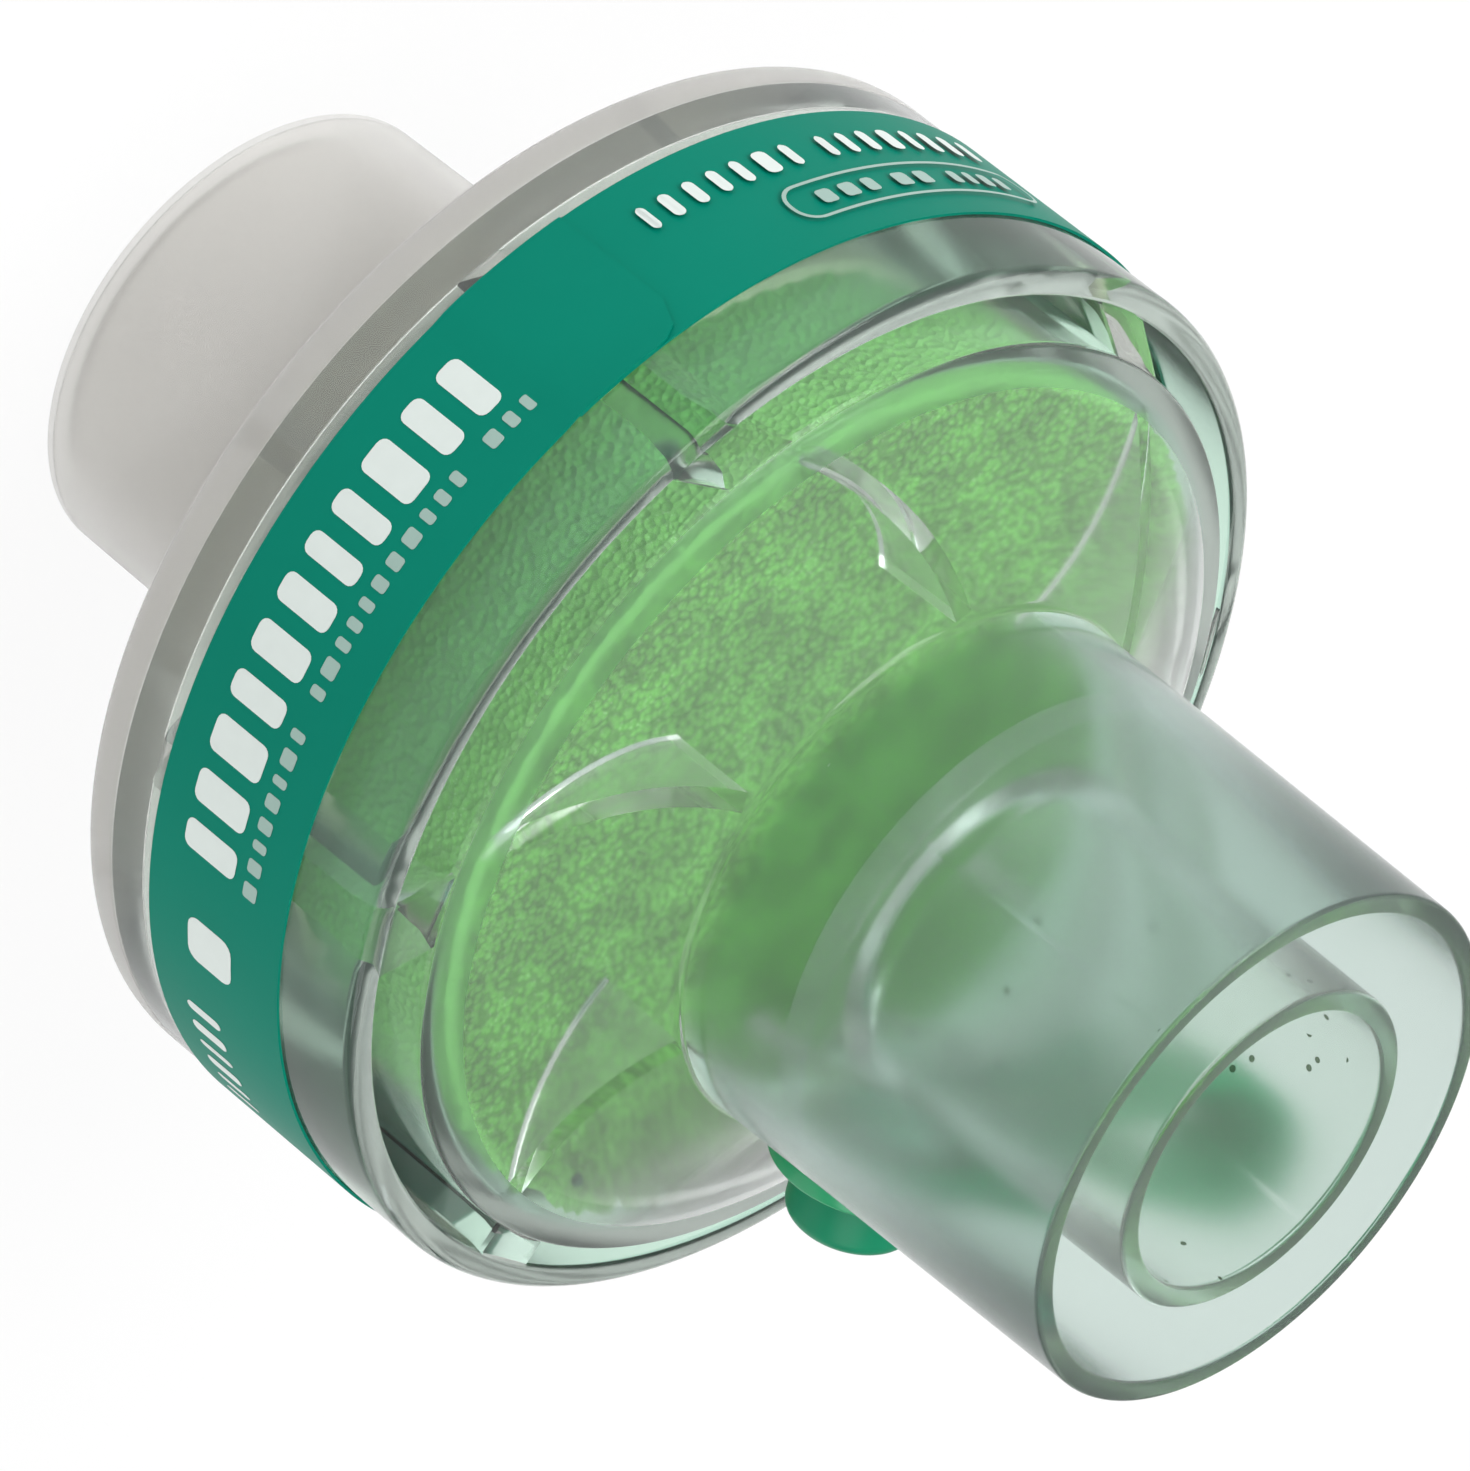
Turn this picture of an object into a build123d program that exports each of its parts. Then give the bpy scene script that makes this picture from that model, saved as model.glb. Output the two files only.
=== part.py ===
from build123d import *
import os
from math import cos, sin, tan, radians

# Breathing circuit filter: a heat and moisture exchange foam and a filter pad in a welded clear housing.
# It stands on its far port. Z is the flow axis, and the gas sampling port points along +X.
# Lengths are millimetres, and angles are degrees round Z from +X.

# Conical connectors: the radius changes by this much for each millimetre from the mouth
TAPER = 1 / 80
EDGE_CHAMFER = 0.18

# Far port: 22 mm male outside, 15 mm female inside, with a slot that keeps the walls even
FAR_TAPER_LENGTH = 12.0
FAR_LAND_LENGTH = 4.4
MALE_22_END_R = 10.95
FEMALE_15_THROAT_R = 7.6
SLOT_INNER_R = 8.85
SLOT_WIDTH = 0.85
SLOT_DEPTH = 12.0

# Rear housing above the far port
SHOULDER_RISE = 0.2
REAR_CONE_FOOT_R = 12.0
REAR_CONE_END_R = 20.4
REAR_CONE_RISE = 2.7
FLANGE_THICKNESS = 1.9
FLANGE_CHAMFER = 0.6
SPIGOT_HEIGHT = 5.4
SPIGOT_WALL = 1.2
SPIGOT_CLEARANCE = 0.1
RIB_COUNT = 6
RIB_THICKNESS = 1.0
RIB_INNER_R = 8.6
RIB_NOSE_R = 11.5
RIB_NOSE_HEIGHT = 2.0
RIB_ROOT = 0.4

# Filter felt and foam
FELT_THICKNESS = 2.0
FELT_EDGE_GAP = 0.2
FOAM_THICKNESS = 8.0
FOAM_EDGE_GAP = 0.5
FOAM_TOP_GAP = 0.2

# Front housing: skirt, ring of bridged pockets, inner wall round the foam
WALL = 1.2
SKIRT_R = 24.8
SKIRT_CHAMFER = 0.6
SKIRT_STEP = 1.04
POCKET_WIDTH = 1.6
POCKET_FLOOR = 1.2
BAND_WIDTH = 1.6
BAND_RISE = 0.68
BAND_CHAMFER = 0.2
CONE_ANGLE = 28.1

# Bridges across the pockets: upright webs that stand slanted between the two walls
BRIDGE_COUNT = 6
BRIDGE_WIDTH = 1.45
BRIDGE_FLARE = 0.7
BRIDGE_FLARE_HEIGHT = 2.5
BRIDGE_INNER_ANGLE = 27.3
BRIDGE_OUTER_ANGLE = 33.5
BRIDGE_ROOT = 0.35

# Swirl vanes: curved blades that hang from the cone down to the foam
VANE_COUNT = 6
VANE_THICKNESS = 0.9
VANE_OUTER_ANGLE = 22.0
VANE_MIDDLE_ANGLE = 10.5
VANE_INNER_ANGLE = 2.0
VANE_ROOT = 0.6
VANE_GAP = 0.1

# Near port: 22 mm female socket round a 15 mm male tube, both ends flush
NEAR_PORT_LENGTH = 21.05
NECK_FOOT_R = 12.47
NECK_RIM_R = 12.15
NECK_FOOT_CHAMFER = 0.3
NECK_WALL = 1.17
FEMALE_22_MOUTH_R = 11.2
FEMALE_22_DEPTH = 14.6
MALE_15_END_R = 7.6
MALE_15_LAND = 4.0
MALE_15_BORE_R = 6.6
WEB_THICKNESS = 1.5

# Gas sampling port: a short female luer boss through the neck wall
LUER_DROP = 18.75
LUER_FOOT_R = 2.9
LUER_TIP_R = 2.75
LUER_STANDOFF = 0.07
LUER_INTRUSION = 2.8
LUER_BORE_R = 2.15
LUER_TAPER = 0.03

# Luer cap
CAP_R = 2.6
CAP_LENGTH = 2.9
CAP_CHAMFER = 0.45
CAP_GAP = 0.1
PLUG_LENGTH = 3.0
PLUG_CLEARANCE = 0.05
PLUG_CHAMFER = 0.3

# Cap strap: a flat band that loops from the cap, its legs spreading, back to an open ring on the boss
STRAP_THICKNESS = 0.9
STRAP_WIDTH = 4.6
STRAP_LEG_LENGTH = 17.0
STRAP_SPREAD = 0.12
STRAP_TILT = 6.0
STRAP_CLEARANCE = 0.06
STRAP_SETBACK = 0.25
RING_WIDTH = 1.3

# Label round the skirt, its end lapped over its start
LABEL_FOOT_GAP = 2.96
LABEL_HEIGHT = 8.1
LABEL_THICKNESS = 0.12
LABEL_GAP = 0.03
LABEL_END_ANGLE = -155.5
LABEL_LAP = 14.0

# Radii of the body, from the skirt inwards, and of the neck
skirt_inner_r = SKIRT_R - WALL
pocket_inner_r = skirt_inner_r - POCKET_WIDTH
chamber_r = pocket_inner_r - WALL
band_inner_r = pocket_inner_r - BAND_WIDTH
foam_r = chamber_r - FOAM_EDGE_GAP
felt_r = chamber_r - FELT_EDGE_GAP
spigot_r = chamber_r - SPIGOT_CLEARANCE
spigot_inner_r = spigot_r - SPIGOT_WALL
neck_cavity_r = NECK_FOOT_R - NECK_WALL

# Heights, from the far port upwards
shoulder_z = FAR_TAPER_LENGTH + FAR_LAND_LENGTH
rear_cone_foot_z = shoulder_z + SHOULDER_RISE
flange_foot_z = rear_cone_foot_z + REAR_CONE_RISE
seam_z = flange_foot_z + FLANGE_THICKNESS
felt_foot_z = seam_z + SPIGOT_HEIGHT
foam_foot_z = felt_foot_z + FELT_THICKNESS
foam_top_z = foam_foot_z + FOAM_THICKNESS
pocket_floor_z = seam_z + POCKET_FLOOR

# The cone's inner face just clears the foam's edge, and the rest of the cone follows from it
cone_slope = tan(radians(CONE_ANGLE))
cone_drop = WALL / cos(radians(CONE_ANGLE))
band_top_z = foam_top_z + FOAM_TOP_GAP + cone_drop - (band_inner_r - foam_r) * cone_slope
band_foot_z = band_top_z - BAND_RISE
skirt_top_z = band_foot_z - SKIRT_STEP
neck_foot_z = band_top_z + (band_inner_r - NECK_FOOT_R) * cone_slope
top_z = neck_foot_z + NEAR_PORT_LENGTH
socket_floor_z = top_z - FEMALE_22_DEPTH
luer_z = top_z - LUER_DROP

rear_slope = REAR_CONE_RISE / (REAR_CONE_END_R - REAR_CONE_FOOT_R)

# The sampling port leaves room for the strap's ring between the neck and the cap
luer_inner_x = neck_cavity_r - LUER_INTRUSION
ring_foot_x = NECK_FOOT_R + STRAP_CLEARANCE
luer_tip_x = ring_foot_x + STRAP_THICKNESS + LUER_STANDOFF
cap_foot_x = luer_tip_x + CAP_GAP
cap_end_x = cap_foot_x + CAP_LENGTH


def cone_inner_z(radius):
    """Height of the front cone's inner face."""
    return band_top_z + (band_inner_r - radius) * cone_slope - cone_drop


def rear_inner_z(radius):
    """Height of the rear cone's inner face."""
    return rear_cone_foot_z + (radius - REAR_CONE_FOOT_R) * rear_slope + WALL * (1 + rear_slope**2) ** 0.5


def polar(radius, angle):
    """Point in plan at a radius and an angle from +X."""
    return (radius * cos(radians(angle)), radius * sin(radians(angle)))


def break_corner(sketch, corner, length):
    """Chamfer the corner of a profile that lies at the given radius and height."""
    chamfer(sketch.vertices().sort_by_distance(corner)[0], length)


def luer_plane(x):
    """Plane across the gas sampling port at a distance from the flow axis."""
    return Plane(origin=(x, 0, luer_z), x_dir=(0, 1, 0), z_dir=(1, 0, 0))


# One swirl vane: a curved blade, cut to the underside of the cone
vane_foot_z = foam_top_z + VANE_GAP
vane_outer_r = band_inner_r
vane_inner_r = neck_cavity_r + VANE_ROOT
with BuildPart() as swirl_vane:
    with BuildSketch(Plane.XY.offset(vane_foot_z)):
        with BuildLine():
            ThreePointArc(
                polar(vane_outer_r, VANE_OUTER_ANGLE),
                polar((vane_outer_r + vane_inner_r) / 2, VANE_MIDDLE_ANGLE),
                polar(vane_inner_r, VANE_INNER_ANGLE),
            )
        trace(line_width=VANE_THICKNESS)
    extrude(amount=neck_foot_z - vane_foot_z)
    with BuildSketch(Plane.XZ) as under_cone:
        with BuildLine():
            Polyline(
                (neck_cavity_r, vane_foot_z),
                (chamber_r, vane_foot_z),
                (chamber_r, cone_inner_z(chamber_r) + cone_drop / 2),
                (neck_cavity_r, cone_inner_z(neck_cavity_r) + cone_drop / 2),
                close=True,
            )
        make_face()
    revolve(axis=Axis.Z, mode=Mode.INTERSECT)

# One bridge: an upright slanted web that flares at its top, cut to the slope between the two rims
bridge_inner_r = pocket_inner_r - BRIDGE_ROOT
bridge_outer_r = skirt_inner_r + BRIDGE_ROOT
with BuildPart() as bridge:
    with BuildSketch(Plane.XY.offset(pocket_floor_z - BRIDGE_ROOT)):
        with BuildLine():
            Line(polar(bridge_inner_r, BRIDGE_INNER_ANGLE), polar(bridge_outer_r, BRIDGE_OUTER_ANGLE))
        trace(line_width=BRIDGE_WIDTH)
    extrude(amount=band_foot_z - pocket_floor_z + BRIDGE_ROOT)
    with BuildSketch(Plane.XY.offset(band_foot_z)):
        with BuildLine():
            web_line = Line(
                polar(bridge_inner_r, BRIDGE_INNER_ANGLE),
                polar(bridge_outer_r, BRIDGE_OUTER_ANGLE),
            )
            Line(web_line @ -0.6, web_line @ 0)
            Line(web_line @ 1, web_line @ 1.6)
        trace(line_width=BRIDGE_WIDTH + 2 * BRIDGE_FLARE)
    extrude(amount=-BRIDGE_FLARE_HEIGHT, taper=15)
    with BuildSketch(Plane.XZ) as between_rims:
        with BuildLine():
            Polyline(
                (bridge_inner_r, pocket_floor_z - BRIDGE_ROOT),
                (bridge_outer_r, pocket_floor_z - BRIDGE_ROOT),
                (bridge_outer_r, skirt_top_z - BRIDGE_ROOT),
                (skirt_inner_r, skirt_top_z),
                (pocket_inner_r, band_foot_z),
                (bridge_inner_r, band_foot_z),
                close=True,
            )
        make_face()
    revolve(axis=Axis.Z, mode=Mode.INTERSECT)

# Front housing: one moulding from the near port down to the weld
male_15_land_r = MALE_15_END_R + TAPER * (FEMALE_22_DEPTH - MALE_15_LAND)
with BuildPart() as front_housing:
    with BuildSketch(Plane.XZ) as front_profile:
        with BuildLine():
            Polyline(
                (NECK_RIM_R, top_z),
                (NECK_FOOT_R, neck_foot_z),
                (band_inner_r, band_top_z),
                (pocket_inner_r, band_foot_z),
                (pocket_inner_r, pocket_floor_z),
                (skirt_inner_r, pocket_floor_z),
                (skirt_inner_r, skirt_top_z),
                (SKIRT_R, skirt_top_z),
                (SKIRT_R, seam_z),
                (chamber_r, seam_z),
                (chamber_r, cone_inner_z(chamber_r)),
                (neck_cavity_r, cone_inner_z(neck_cavity_r)),
                (neck_cavity_r, socket_floor_z - WEB_THICKNESS),
                (MALE_15_BORE_R, socket_floor_z - WEB_THICKNESS),
                (MALE_15_BORE_R, top_z),
                (MALE_15_END_R, top_z),
                (male_15_land_r, socket_floor_z + MALE_15_LAND),
                (male_15_land_r, socket_floor_z),
                (FEMALE_22_MOUTH_R - TAPER * FEMALE_22_DEPTH, socket_floor_z),
                (FEMALE_22_MOUTH_R, top_z),
                close=True,
            )
        make_face()
        for rim_r in (NECK_RIM_R, FEMALE_22_MOUTH_R, MALE_15_END_R, MALE_15_BORE_R):
            break_corner(front_profile, (rim_r, top_z), EDGE_CHAMFER)
        break_corner(front_profile, (NECK_FOOT_R, neck_foot_z), NECK_FOOT_CHAMFER)
        break_corner(front_profile, (pocket_inner_r, band_foot_z), BAND_CHAMFER)
        break_corner(front_profile, (skirt_inner_r, skirt_top_z), EDGE_CHAMFER)
        break_corner(front_profile, (SKIRT_R, skirt_top_z), SKIRT_CHAMFER)
    revolve(axis=Axis.Z)
    with PolarLocations(0, BRIDGE_COUNT):
        add(bridge.part)
    with PolarLocations(0, VANE_COUNT):
        add(swirl_vane.part)
    # Boss of the gas sampling port, through the neck wall
    with BuildSketch(luer_plane(luer_tip_x)):
        Circle(LUER_TIP_R)
    with BuildSketch(luer_plane(neck_cavity_r)):
        Circle(LUER_FOOT_R)
    loft()
    with BuildSketch(luer_plane(luer_inner_x)):
        Circle(LUER_FOOT_R)
    extrude(amount=LUER_INTRUSION)
    with BuildSketch(luer_plane(luer_tip_x)):
        Circle(LUER_BORE_R)
    with BuildSketch(luer_plane(luer_inner_x)):
        Circle(LUER_BORE_R - LUER_TAPER * (luer_tip_x - luer_inner_x))
    loft(mode=Mode.SUBTRACT)

# One rear rib: a radial web under the felt, its foot sunk in the rear cone
with BuildPart() as rear_rib:
    with BuildSketch(Plane.XZ):
        with BuildLine():
            Polyline(
                (RIB_INNER_R, rear_inner_z(RIB_INNER_R) - RIB_ROOT),
                (spigot_inner_r + RIB_ROOT, rear_inner_z(spigot_inner_r) - RIB_ROOT),
                (spigot_inner_r + RIB_ROOT, felt_foot_z),
                (RIB_NOSE_R, felt_foot_z),
                (RIB_INNER_R, rear_inner_z(RIB_INNER_R) + RIB_NOSE_HEIGHT),
                close=True,
            )
        make_face()
    extrude(amount=RIB_THICKNESS / 2, both=True)

# Rear housing: far port, cone, weld flange, spigot and the ribs that carry the felt
with BuildPart() as rear_housing:
    with BuildSketch(Plane.XZ) as rear_profile:
        with BuildLine():
            Polyline(
                (FEMALE_15_THROAT_R + TAPER * FAR_TAPER_LENGTH, 0),
                (FEMALE_15_THROAT_R, FAR_TAPER_LENGTH),
                (FEMALE_15_THROAT_R, rear_inner_z(FEMALE_15_THROAT_R)),
                (spigot_inner_r, rear_inner_z(spigot_inner_r)),
                (spigot_inner_r, felt_foot_z),
                (spigot_r, felt_foot_z),
                (spigot_r, seam_z),
                (SKIRT_R, seam_z),
                (SKIRT_R, flange_foot_z),
                (REAR_CONE_END_R, flange_foot_z),
                (REAR_CONE_FOOT_R, rear_cone_foot_z),
                (MALE_22_END_R + TAPER * FAR_TAPER_LENGTH, shoulder_z),
                (MALE_22_END_R + TAPER * FAR_TAPER_LENGTH, FAR_TAPER_LENGTH),
                (MALE_22_END_R, 0),
                (SLOT_INNER_R + SLOT_WIDTH, 0),
                (SLOT_INNER_R + SLOT_WIDTH, SLOT_DEPTH),
                (SLOT_INNER_R, SLOT_DEPTH),
                (SLOT_INNER_R, 0),
                close=True,
            )
        make_face()
        for rim_r in (FEMALE_15_THROAT_R + TAPER * FAR_TAPER_LENGTH, MALE_22_END_R):
            break_corner(rear_profile, (rim_r, 0), EDGE_CHAMFER)
        break_corner(rear_profile, (SKIRT_R, flange_foot_z), FLANGE_CHAMFER)
    revolve(axis=Axis.Z)
    with PolarLocations(0, RIB_COUNT):
        add(rear_rib.part)

# Filter felt and heat and moisture exchange foam
with BuildPart() as filter_medium:
    with BuildSketch(Plane.XY.offset(felt_foot_z)):
        Circle(felt_r)
    extrude(amount=FELT_THICKNESS)

with BuildPart() as hme_foam:
    with BuildSketch(Plane.XY.offset(foam_foot_z)):
        Circle(foam_r)
    extrude(amount=FOAM_THICKNESS)

# Label: one turn round the skirt and a lap over its own start
label_foot_z = seam_z + LABEL_FOOT_GAP
label_inner_r = SKIRT_R + LABEL_GAP
label_outer_r = label_inner_r + LABEL_THICKNESS
with BuildPart() as label:
    with BuildSketch(Plane.XY.offset(label_foot_z)):
        Circle(label_outer_r)
        Circle(label_inner_r, mode=Mode.SUBTRACT)
        with BuildLine():
            lap_inner = CenterArc((0, 0), label_outer_r - LABEL_GAP, LABEL_END_ANGLE, LABEL_LAP)
            lap_outer = CenterArc((0, 0), label_outer_r + LABEL_THICKNESS, LABEL_END_ANGLE, LABEL_LAP)
            Line(lap_inner @ 0, lap_outer @ 0)
            Line(lap_inner @ 1, lap_outer @ 1)
        make_face()
    extrude(amount=LABEL_HEIGHT)

# Luer cap: a rounded head with a tapered plug
plug_foot_r = LUER_BORE_R - PLUG_CLEARANCE
with BuildPart() as luer_cap:
    with BuildSketch(luer_plane(cap_foot_x)):
        Circle(CAP_R)
    extrude(amount=CAP_LENGTH)
    chamfer(luer_cap.edges().group_by(Axis.X)[-1], CAP_CHAMFER)
    with BuildSketch(luer_plane(cap_foot_x)):
        Circle(plug_foot_r)
    with BuildSketch(luer_plane(cap_foot_x - PLUG_LENGTH)):
        Circle(plug_foot_r - LUER_TAPER * PLUG_LENGTH)
    loft()
    chamfer(luer_cap.edges().group_by(Axis.X)[0], PLUG_CHAMFER)

# Cap strap: an open ring that snaps over the boss above the cone, and a flat band looped to the cap's side
ring_inner_r = LUER_FOOT_R + STRAP_CLEARANCE
inner_leg_x = ring_foot_x + STRAP_THICKNESS / 2
outer_leg_x = cap_end_x - STRAP_SETBACK - STRAP_THICKNESS / 2
inner_foot_y = ring_inner_r + RING_WIDTH / 2
outer_end_x = outer_leg_x + STRAP_SPREAD * STRAP_LEG_LENGTH
inner_end_x = inner_leg_x - STRAP_SPREAD * (STRAP_LEG_LENGTH - inner_foot_y)
tilt = radians(STRAP_TILT)
strap_plane = Plane(origin=(0, 0, luer_z), x_dir=(1, 0, 0), z_dir=(0, -sin(tilt), cos(tilt)))
with BuildPart() as cap_strap:
    with BuildSketch(strap_plane):
        with BuildLine():
            outer_leg = Line((outer_leg_x, 0), (outer_end_x, STRAP_LEG_LENGTH))
            loop = TangentArc(outer_leg @ 1, (inner_end_x, STRAP_LEG_LENGTH), tangent=outer_leg % 1)
            Line(loop @ 1, (inner_leg_x, inner_foot_y))
        trace(line_width=STRAP_THICKNESS)
    extrude(amount=STRAP_WIDTH / 2, both=True)
    with BuildSketch(luer_plane(cap_foot_x)):
        Circle(CAP_R + STRAP_CLEARANCE)
    extrude(amount=CAP_LENGTH + STRAP_WIDTH, mode=Mode.SUBTRACT)
    with BuildSketch(luer_plane(ring_foot_x)):
        Circle(ring_inner_r + RING_WIDTH)
        with Locations((0, neck_foot_z + NECK_FOOT_CHAMFER - luer_z)):
            Rectangle(4 * ring_inner_r, 2 * ring_inner_r, align=(Align.CENTER, Align.MAX), mode=Mode.SUBTRACT)
    extrude(amount=STRAP_THICKNESS)
    with BuildSketch(luer_plane(ring_foot_x)):
        Circle(ring_inner_r)
    extrude(amount=STRAP_THICKNESS, mode=Mode.SUBTRACT)

front_housing.part.label = "front_housing"
rear_housing.part.label = "rear_housing"
filter_medium.part.label = "filter_medium"
hme_foam.part.label = "hme_foam"
label.part.label = "label"
luer_cap.part.label = "luer_cap"
cap_strap.part.label = "cap_strap"

os.makedirs("parts", exist_ok=True)
export_step(front_housing.part, "parts/front_housing.step")
export_step(rear_housing.part, "parts/rear_housing.step")
export_step(filter_medium.part, "parts/filter_medium.step")
export_step(hme_foam.part, "parts/hme_foam.step")
export_step(label.part, "parts/label.step")
export_step(luer_cap.part, "parts/luer_cap.step")
export_step(cap_strap.part, "parts/cap_strap.step")
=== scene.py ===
import math

import bmesh
import bpy
from bpy.props import FloatProperty, FloatVectorProperty, IntProperty, PointerProperty
from mathutils import Matrix, Vector, noise


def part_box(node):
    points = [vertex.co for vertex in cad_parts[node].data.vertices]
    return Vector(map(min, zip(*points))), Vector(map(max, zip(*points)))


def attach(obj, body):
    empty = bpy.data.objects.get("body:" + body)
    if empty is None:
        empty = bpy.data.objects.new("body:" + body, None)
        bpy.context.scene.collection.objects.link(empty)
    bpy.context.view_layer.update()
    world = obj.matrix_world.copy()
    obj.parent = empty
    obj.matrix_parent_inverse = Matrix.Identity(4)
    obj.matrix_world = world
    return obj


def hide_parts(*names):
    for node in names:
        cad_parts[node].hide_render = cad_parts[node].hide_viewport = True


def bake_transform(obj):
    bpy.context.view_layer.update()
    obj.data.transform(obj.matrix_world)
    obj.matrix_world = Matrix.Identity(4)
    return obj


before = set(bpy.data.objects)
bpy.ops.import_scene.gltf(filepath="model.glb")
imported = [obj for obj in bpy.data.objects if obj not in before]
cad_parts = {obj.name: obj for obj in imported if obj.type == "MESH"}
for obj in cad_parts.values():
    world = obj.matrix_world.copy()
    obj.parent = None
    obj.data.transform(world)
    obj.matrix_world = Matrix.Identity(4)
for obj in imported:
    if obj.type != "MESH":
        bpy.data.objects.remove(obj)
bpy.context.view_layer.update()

bl_info = {
    "name": "Breathing circuit filter",
    "version": (1, 0, 0),
    "blender": (4, 5, 0),
    "location": "View3D > Sidebar > Filter",
    "description": "Clear housing, foam, felt, label and capped sampling port of a breathing circuit filter",
    "category": "Object",
}

MM = 0.001
BODY = "filter"
CAP_BODY = "cap"

# Boxes and heights that the frame gives, in millimetres
FRONT_LOW, FRONT_HIGH = (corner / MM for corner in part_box("front_housing"))
FOAM_LOW, FOAM_HIGH = (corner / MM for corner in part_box("hme_foam"))
FELT_LOW, FELT_HIGH = (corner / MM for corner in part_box("filter_medium"))
LABEL_LOW, LABEL_HIGH = (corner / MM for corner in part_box("label"))
CAP_LOW, CAP_HIGH = (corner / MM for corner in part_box("luer_cap"))
SEAM_Z = FRONT_LOW.z
TOP_Z = FRONT_HIGH.z
SKIRT_R = FRONT_HIGH.x
LUER_Z = (CAP_LOW.z + CAP_HIGH.z) / 2


# Shader maths

class Value:
    """A node's output socket, with arithmetic that adds Math nodes."""

    def __init__(self, shader, socket):
        self.shader = shader
        self.socket = socket

    def maths(self, operation, first, second=None):
        inputs = {0: first} if second is None else {0: first, 1: second}
        return self.shader.node("ShaderNodeMath", {"operation": operation}, inputs)

    def __add__(self, other):
        return self.maths("ADD", self, other)

    def __radd__(self, other):
        return self.maths("ADD", other, self)

    def __sub__(self, other):
        return self.maths("SUBTRACT", self, other)

    def __rsub__(self, other):
        return self.maths("SUBTRACT", other, self)

    def __mul__(self, other):
        return self.maths("MULTIPLY", self, other)

    def __rmul__(self, other):
        return self.maths("MULTIPLY", other, self)

    def __gt__(self, other):
        return self.maths("GREATER_THAN", self, other)

    def __lt__(self, other):
        return self.maths("LESS_THAN", self, other)

    def maximum(self, other):
        return self.maths("MAXIMUM", self, other)

    def clamped(self):
        return self.maths("MINIMUM", self.maximum(0.0), 1.0)


class Shader:
    """The node tree of a material or a world, filled by one method."""

    def __init__(self, owner):
        self.owner = owner
        self.owner.use_nodes = True
        self.tree = self.owner.node_tree
        self.tree.nodes.clear()

    def node(self, kind, settings=None, inputs=None, output=0):
        made = self.tree.nodes.new(kind)
        for key, setting in (settings or {}).items():
            if key == "stops":
                self.set_stops(made.color_ramp, setting)
            else:
                setattr(made, key, setting)
        for key, given in (inputs or {}).items():
            if isinstance(given, Value):
                self.tree.links.new(given.socket, made.inputs[key])
            else:
                made.inputs[key].default_value = given
        return Value(self, made.outputs[output]) if made.outputs else made

    def set_stops(self, ramp, stops):
        while len(ramp.elements) < len(stops):
            ramp.elements.new(0.5)
        for element, (place, level) in zip(ramp.elements, stops):
            element.position = place
            element.color = (level, level, level, 1)

    def mix(self, factor, first, second):
        inputs = {0: factor, 6: first, 7: second}
        return self.node("ShaderNodeMix", {"data_type": "RGBA"}, inputs, output=2)

    def ramp(self, value, *stops):
        return self.node("ShaderNodeValToRGB", {"stops": stops}, {0: value})

    def place(self):
        """Object coordinates, in metres, which are the frame's own."""
        return self.node("ShaderNodeTexCoord", output="Object")

    def height(self):
        """Height in the frame, in millimetres."""
        return self.node("ShaderNodeSeparateXYZ", None, {0: self.place()}, output="Z") * (1 / MM)

    def radius(self):
        """Distance from the flow axis, in millimetres."""
        kind = "ShaderNodeVectorMath"
        flat = self.node(kind, {"operation": "MULTIPLY"}, {0: self.place(), 1: (1 / MM, 1 / MM, 0)})
        return self.node(kind, {"operation": "LENGTH"}, {0: flat}, output="Value")

    def speckle(self, scale, detail=2.0, roughness=0.5):
        inputs = {"Vector": self.place(), "Scale": scale, "Detail": detail, "Roughness": roughness}
        return self.node("ShaderNodeTexNoise", None, inputs, output="Fac")

    def cells(self, scale):
        inputs = {"Vector": self.place(), "Scale": scale}
        return self.node("ShaderNodeTexVoronoi", None, inputs, output="Distance")

    def bump(self, height, depth, strength=1.0):
        return self.node("ShaderNodeBump", None, {"Height": height, "Distance": depth, "Strength": strength})

    def surface(self, light_through=0.0, **inputs):
        """A Principled surface that ends the tree. A share of the lamps' light goes straight through it."""
        named = {key.replace("_", " "): given for key, given in inputs.items()}
        made = self.node("ShaderNodeBsdfPrincipled", None, named)
        if light_through:
            shadow = self.node("ShaderNodeLightPath", output="Is Shadow Ray")
            clear = self.node("ShaderNodeBsdfTransparent", None, {"Color": rgb([light_through] * 3)})
            made = self.node("ShaderNodeMixShader", None, {0: shadow, 1: made, 2: clear})
        self.end(made)
        return self.owner

    def end(self, shader):
        self.node("ShaderNodeOutputMaterial", None, {"Surface": shader})


def material_shader(name):
    return Shader(bpy.data.materials.new(name))


def rgb(colour):
    return (*colour, 1.0)


# Mesh tools

def rounded(outline, steps=5):
    """Points of a closed outline whose corners (r, z, radius) are rounded."""
    points = []
    for index, (x, y, radius) in enumerate(outline):
        corner = Vector((x, y))
        if not radius:
            points.append(corner)
            continue
        before = Vector(outline[index - 1][:2]) - corner
        after = Vector(outline[(index + 1) % len(outline)][:2]) - corner
        half = before.angle(after) / 2
        reach = min(radius / math.tan(half), 0.49 * before.length, 0.49 * after.length)
        radius = reach * math.tan(half)
        middle = corner + (before.normalized() + after.normalized()).normalized() * (radius / math.sin(half))
        start = corner + before.normalized() * reach - middle
        end = corner + after.normalized() * reach - middle
        turn = start.angle_signed(end)
        for step in range(steps + 1):
            points.append(middle + Matrix.Rotation(-turn * step / steps, 2) @ start)
    return points


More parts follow.
